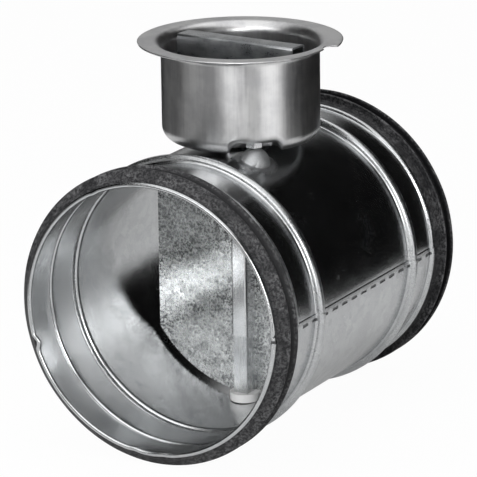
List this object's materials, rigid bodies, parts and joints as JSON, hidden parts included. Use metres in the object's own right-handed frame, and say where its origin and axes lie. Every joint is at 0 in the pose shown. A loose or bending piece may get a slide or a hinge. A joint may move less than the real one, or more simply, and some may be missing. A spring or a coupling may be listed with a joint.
{
  "type": "volume control damper",
  "caption": "Round duct volume control damper: rubber-sealed spigot tube with a turning blade on a square spindle and a handle in a raised insulation cup.",
  "frame": {"origin": "where the duct's centre line crosses the spindle's centre line", "axes": "+Y along the duct towards the rear spigot, +Z along the spindle up through the cup, +X towards the lap seam"},
  "size_m": [0.1344, 0.172, 0.1753],
  "materials": {
    "galvanised": "bright galvanised sheet with fine spangle",
    "blade_steel": "galvanised sheet, spangled",
    "cup_steel": "satin drawn steel, zinc coated",
    "spindle_steel": "drawn square bar, zinc plated",
    "fastener": "zinc plated",
    "rubber": "EPDM, dull and slightly dusty",
    "nylon": "natural white nylon"
  },
  "bodies": {
    "duct": {"duct_shell": "galvanised", "front_seal": "rubber", "rear_seal": "rubber", "handle_cup": "cup_steel", "cup_gasket": "rubber", "cup_rivets": "fastener", "lock_nut": "fastener"},
    "damper": {"spindle": "spindle_steel", "blade": "blade_steel", "blade_saddle": "blade_steel", "upper_bush": "nylon", "lower_bush": "nylon", "hub_spacer": "nylon", "bottom_washer": "fastener", "retaining_clip": "fastener", "base_plate": "cup_steel", "handle": "cup_steel", "handle_rivets": "fastener", "spindle_washer": "fastener", "spindle_screw": "fastener"},
    "lock": {"lock_screw": "fastener", "lock_washer": "fastener"}
  },
  "joints": [
    {"name": "blade_turn", "type": "hinge", "parent": "duct", "child": "damper", "pos_m": [0, 0, 0], "axis": [0, 0, 1], "range_deg": [-86, 4]},
    {"name": "lock_turn", "type": "hinge", "parent": "duct", "child": "lock", "pos_m": [0.01832, -0.02183, 0.07], "axis": [0, 0, 1], "range_deg": [0, 360]}
  ]
}
